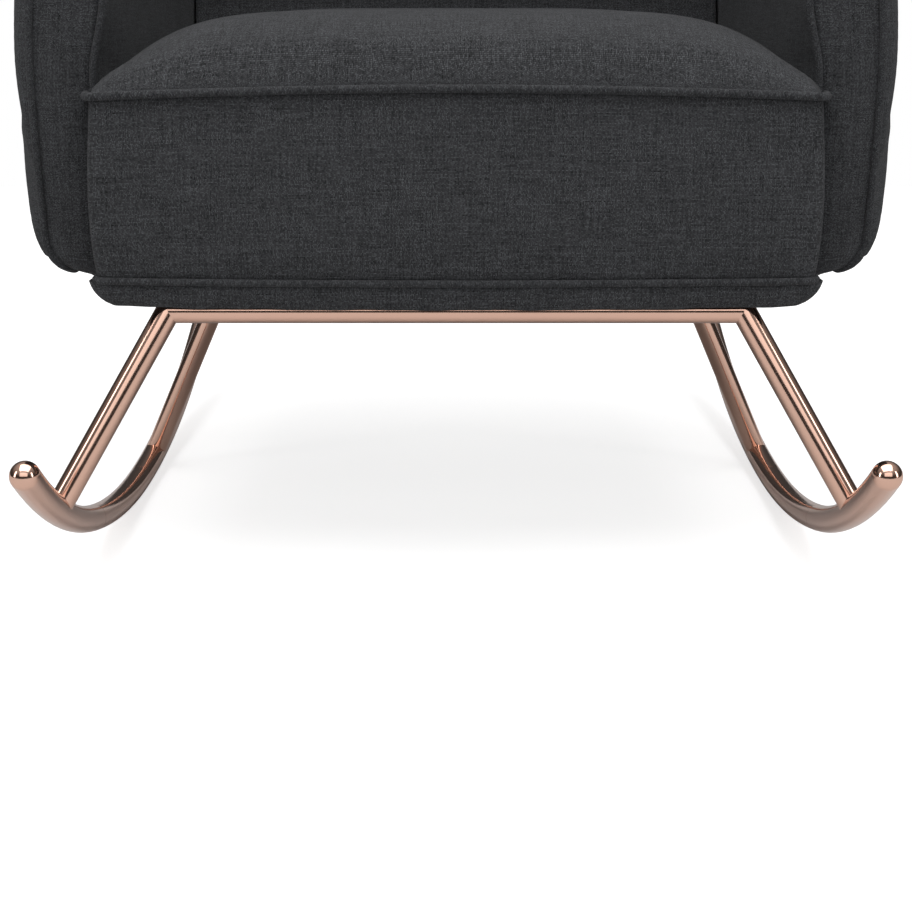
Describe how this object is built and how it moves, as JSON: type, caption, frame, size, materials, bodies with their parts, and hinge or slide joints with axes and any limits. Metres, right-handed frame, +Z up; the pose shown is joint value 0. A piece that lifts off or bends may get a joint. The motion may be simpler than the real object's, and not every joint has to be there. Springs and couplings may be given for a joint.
{
  "type": "nursery rocking chair",
  "caption": "Upholstered nursery rocking chair: deep padded seat, welted arms and wings and a high back in dark woven fabric, on a polished tube base with curved runners that rock on the floor.",
  "frame": {"origin": "on the floor midway between the runners, under their lowest points; the middle of the overall box lies within 6 mm of it", "axes": "+Z up, the chair faces -Y, +X is the sitter's left"},
  "size_m": [0.784, 0.9487, 1.0016],
  "materials": {
    "rose_gold_plate": "polished",
    "zinc_steel": "satin",
    "frame_timber": "matte",
    "cushion_foam": "matte",
    "charcoal_weave": "matte",
    "charcoal_welt": "matte",
    "black_cloth": "matte"
  },
  "bodies": {
    "root": {"runner_left": "rose_gold_plate", "runner_right": "rose_gold_plate", "cap_front_left": "rose_gold_plate", "cap_front_right": "rose_gold_plate", "cap_rear_left": "rose_gold_plate", "cap_rear_right": "rose_gold_plate", "front_leg_left": "rose_gold_plate", "front_leg_right": "rose_gold_plate", "rear_leg_left": "rose_gold_plate", "rear_leg_right": "rose_gold_plate", "front_crossbar": "rose_gold_plate", "rear_crossbar": "rose_gold_plate", "side_tube_left": "rose_gold_plate", "side_tube_right": "rose_gold_plate", "mount_plates": "rose_gold_plate", "base_bolts": "zinc_steel", "base_washers": "zinc_steel", "tee_nuts": "zinc_steel", "seat_springs": "zinc_steel", "spring_clips": "zinc_steel", "seat_front_rail": "frame_timber", "seat_rear_rail": "frame_timber", "seat_side_rail_left": "frame_timber", "seat_side_rail_right": "frame_timber", "front_mount_rail": "frame_timber", "rear_mount_rail": "frame_timber", "corner_blocks": "frame_timber", "side_panel_left": "frame_timber", "side_panel_right": "frame_timber", "back_post_left": "frame_timber", "back_post_right": "frame_timber", "back_top_rail": "frame_timber", "back_lower_rail": "frame_timber", "seat_foam": "cushion_foam", "back_foam": "cushion_foam", "inner_padding_left": "cushion_foam", "inner_padding_right": "cushion_foam", "outer_padding_left": "cushion_foam", "outer_padding_right": "cushion_foam", "seat_crown_cover": "charcoal_weave", "seat_boxing": "charcoal_weave", "seat_lower_band": "charcoal_weave", "inside_back_cover": "charcoal_weave", "outside_back_cover": "charcoal_weave", "arm_band_left": "charcoal_weave", "arm_band_right": "charcoal_weave", "inside_cover_left": "charcoal_weave", "inside_cover_right": "charcoal_weave", "outside_cover_left": "charcoal_weave", "outside_cover_right": "charcoal_weave", "seat_top_welt": "charcoal_welt", "seat_bottom_welt": "charcoal_welt", "inner_welt_left": "charcoal_welt", "inner_welt_right": "charcoal_welt", "outer_welt_left": "charcoal_welt", "outer_welt_right": "charcoal_welt", "back_webbing": "black_cloth", "dust_cover": "black_cloth"}
  },
  "joints": []
}
